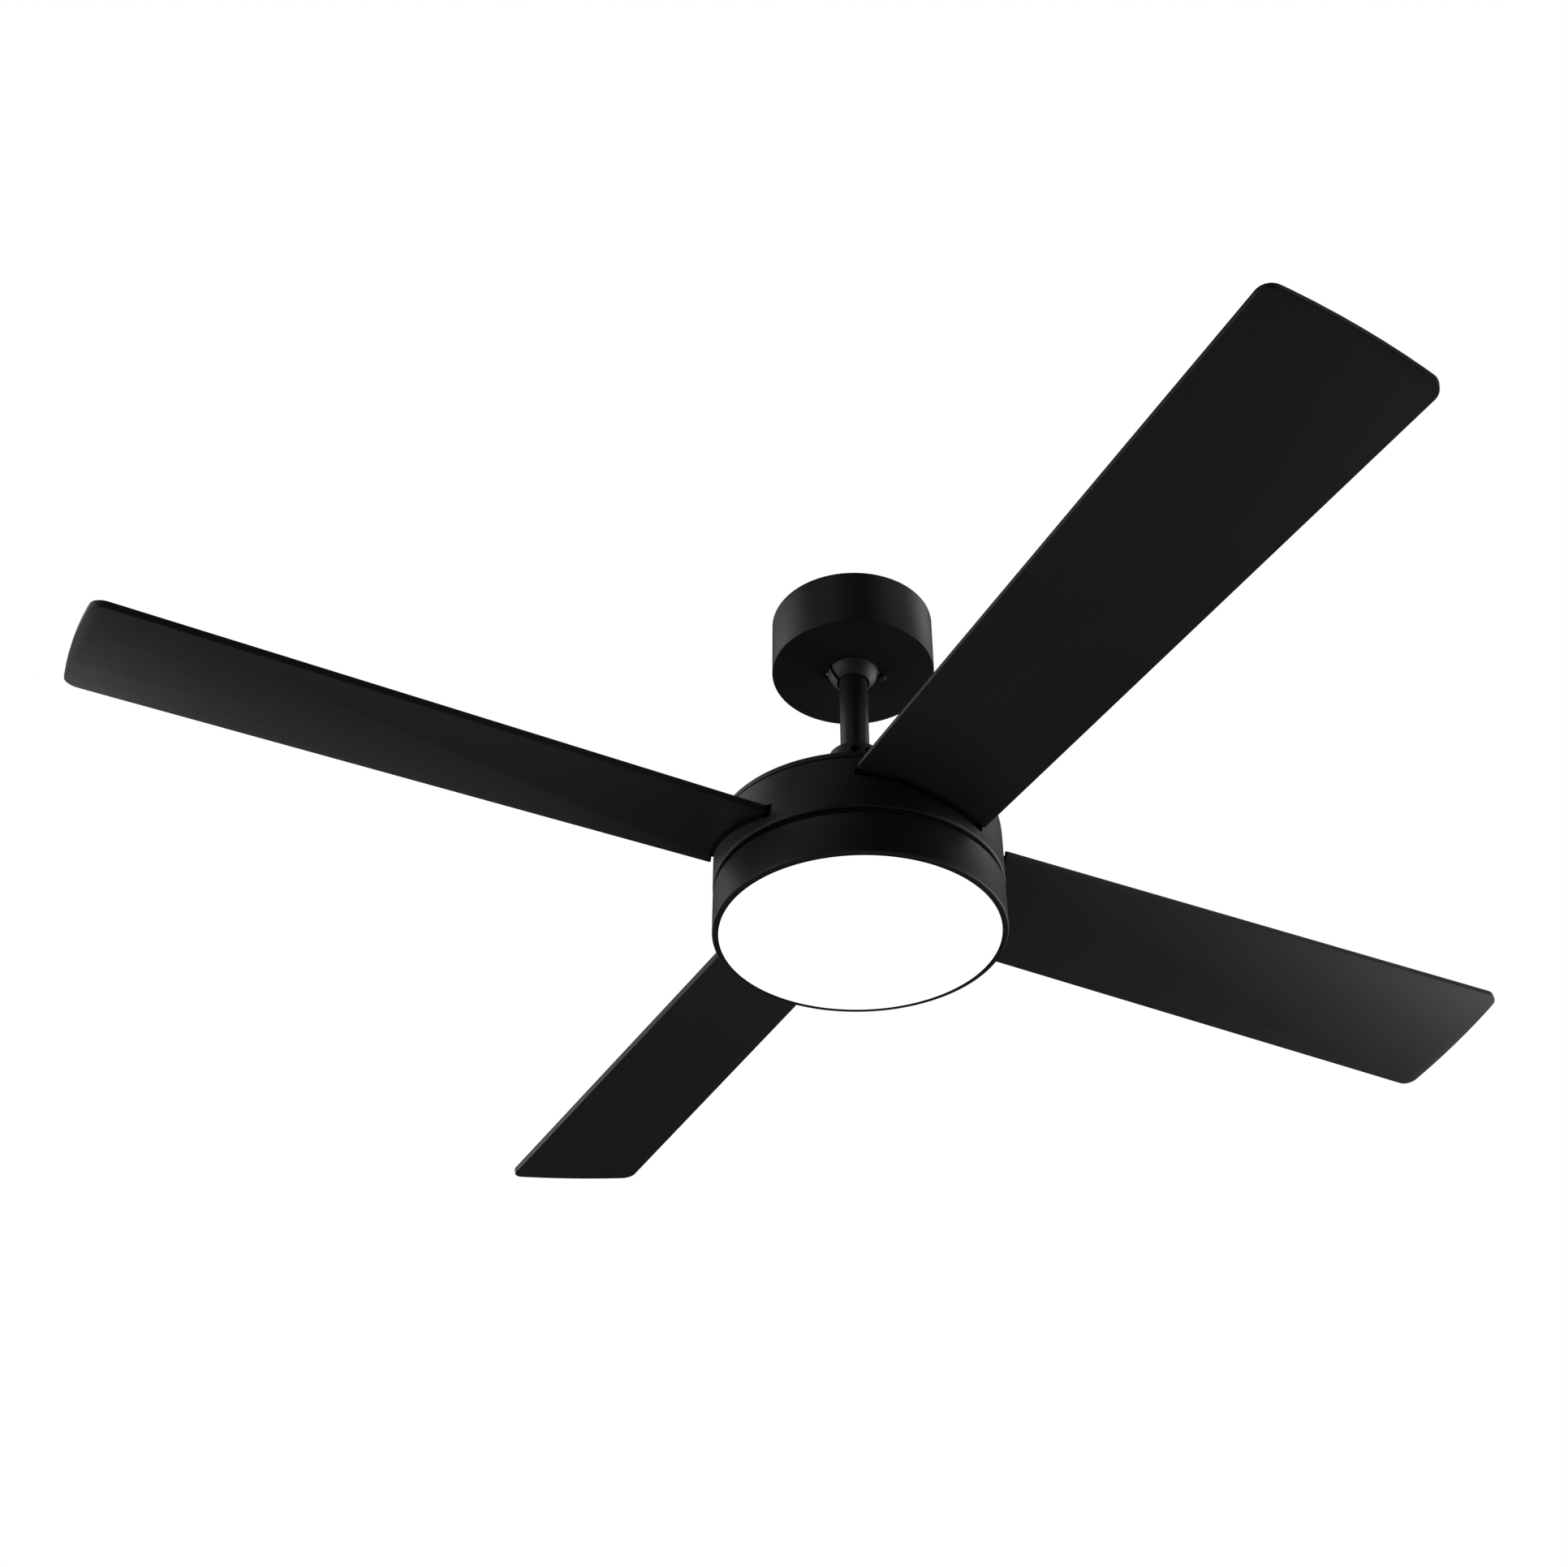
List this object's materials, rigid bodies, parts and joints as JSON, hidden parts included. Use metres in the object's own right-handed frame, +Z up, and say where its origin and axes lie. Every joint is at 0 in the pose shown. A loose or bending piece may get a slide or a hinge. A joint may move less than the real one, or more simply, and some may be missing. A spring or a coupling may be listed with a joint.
{
  "type": "ceiling fan with light",
  "caption": "Ball-hung ceiling fan with a short downrod, flat pitched blades on a round motor housing and a flat round lamp below.",
  "frame": {"origin": "centre of the ceiling plate's two slots, on its top face, which lies on the ceiling", "axes": "+Z up into the ceiling along the fan's axis; +X along the ceiling slots and along blade 1"},
  "size_m": [1.32, 1.32, 0.3448],
  "materials": {
    "black_coating": "matte",
    "zinc_steel": "satin",
    "screw_steel": "satin",
    "black_screw": "satin",
    "ball_nylon": "satin",
    "bearing_steel": "polished",
    "laminated_steel": "satin",
    "copper_winding": "satin",
    "ferrite": "matte",
    "cast_aluminium": "satin",
    "blade_black": "matte",
    "arm_black": "matte",
    "plate_aluminium": "satin",
    "white_board": "matte",
    "led_phosphor": "gloss",
    "opal_diffuser": "matte",
    "module_plastic": "matte",
    "circuit_green": "satin",
    "terminal_ivory": "matte"
  },
  "bodies": {
    "ceiling_mount": {"hanger_bracket": "zinc_steel", "ground_screw": "screw_steel", "canopy": "black_coating", "canopy_screw": "black_screw", "receiver_case": "module_plastic", "receiver_lid": "module_plastic", "receiver_board": "circuit_green", "terminal_block": "terminal_ivory"},
    "slot_key": {"slot_key": "zinc_steel"},
    "hanging": {"hanger_ball": "ball_nylon", "ball_screw": "screw_steel", "downrod": "black_coating", "rod_pin": "screw_steel", "coupling": "black_coating", "coupling_screws": "black_screw", "coupling_pin": "screw_steel", "coupling_clip": "zinc_steel", "motor_shaft": "screw_steel", "bearing_inner_rings": "bearing_steel", "stator_core": "laminated_steel", "stator_windings": "copper_winding", "lamp_housing": "black_coating", "lamp_washer": "zinc_steel", "lamp_nut": "zinc_steel", "lamp_spacers": "zinc_steel", "led_driver": "module_plastic", "led_chips": "led_phosphor", "diffuser": "opal_diffuser", "heat_plate": "plate_aluminium", "led_board": "white_board", "led_screws": "screw_steel"},
    "rotor": {"bearing_outer_rings": "bearing_steel", "bearing_balls": "bearing_steel", "rotor_magnets": "ferrite", "rotor_upper_case": "cast_aluminium", "rotor_lower_case": "cast_aluminium", "housing_cover": "black_coating", "motor_housing": "black_coating", "blade_screws": "screw_steel", "foot_screws": "screw_steel", "case_screws": "screw_steel", "cover_screws": "screw_steel", "housing_screws": "screw_steel", "blade_1": "blade_black", "blade_2": "blade_black", "blade_3": "blade_black", "blade_4": "blade_black", "blade_arm_1": "arm_black", "blade_arm_2": "arm_black", "blade_arm_3": "arm_black", "blade_arm_4": "arm_black"}
  },
  "joints": [
    {"name": "ball_tilt_x", "type": "hinge", "parent": "ceiling_mount", "child": "slot_key", "pos_m": [0, 0, -0.05], "axis": [1, 0, 0], "range_deg": [-15, 15]},
    {"name": "ball_tilt_y", "type": "hinge", "parent": "slot_key", "child": "hanging", "pos_m": [0, 0, -0.05], "axis": [0, 1, 0], "range_deg": [-15, 15]},
    {"name": "rotor_spin", "type": "hinge", "parent": "hanging", "child": "rotor", "pos_m": [0, 0, -0.272], "axis": [0, 0, 1], "continuous": true}
  ]
}
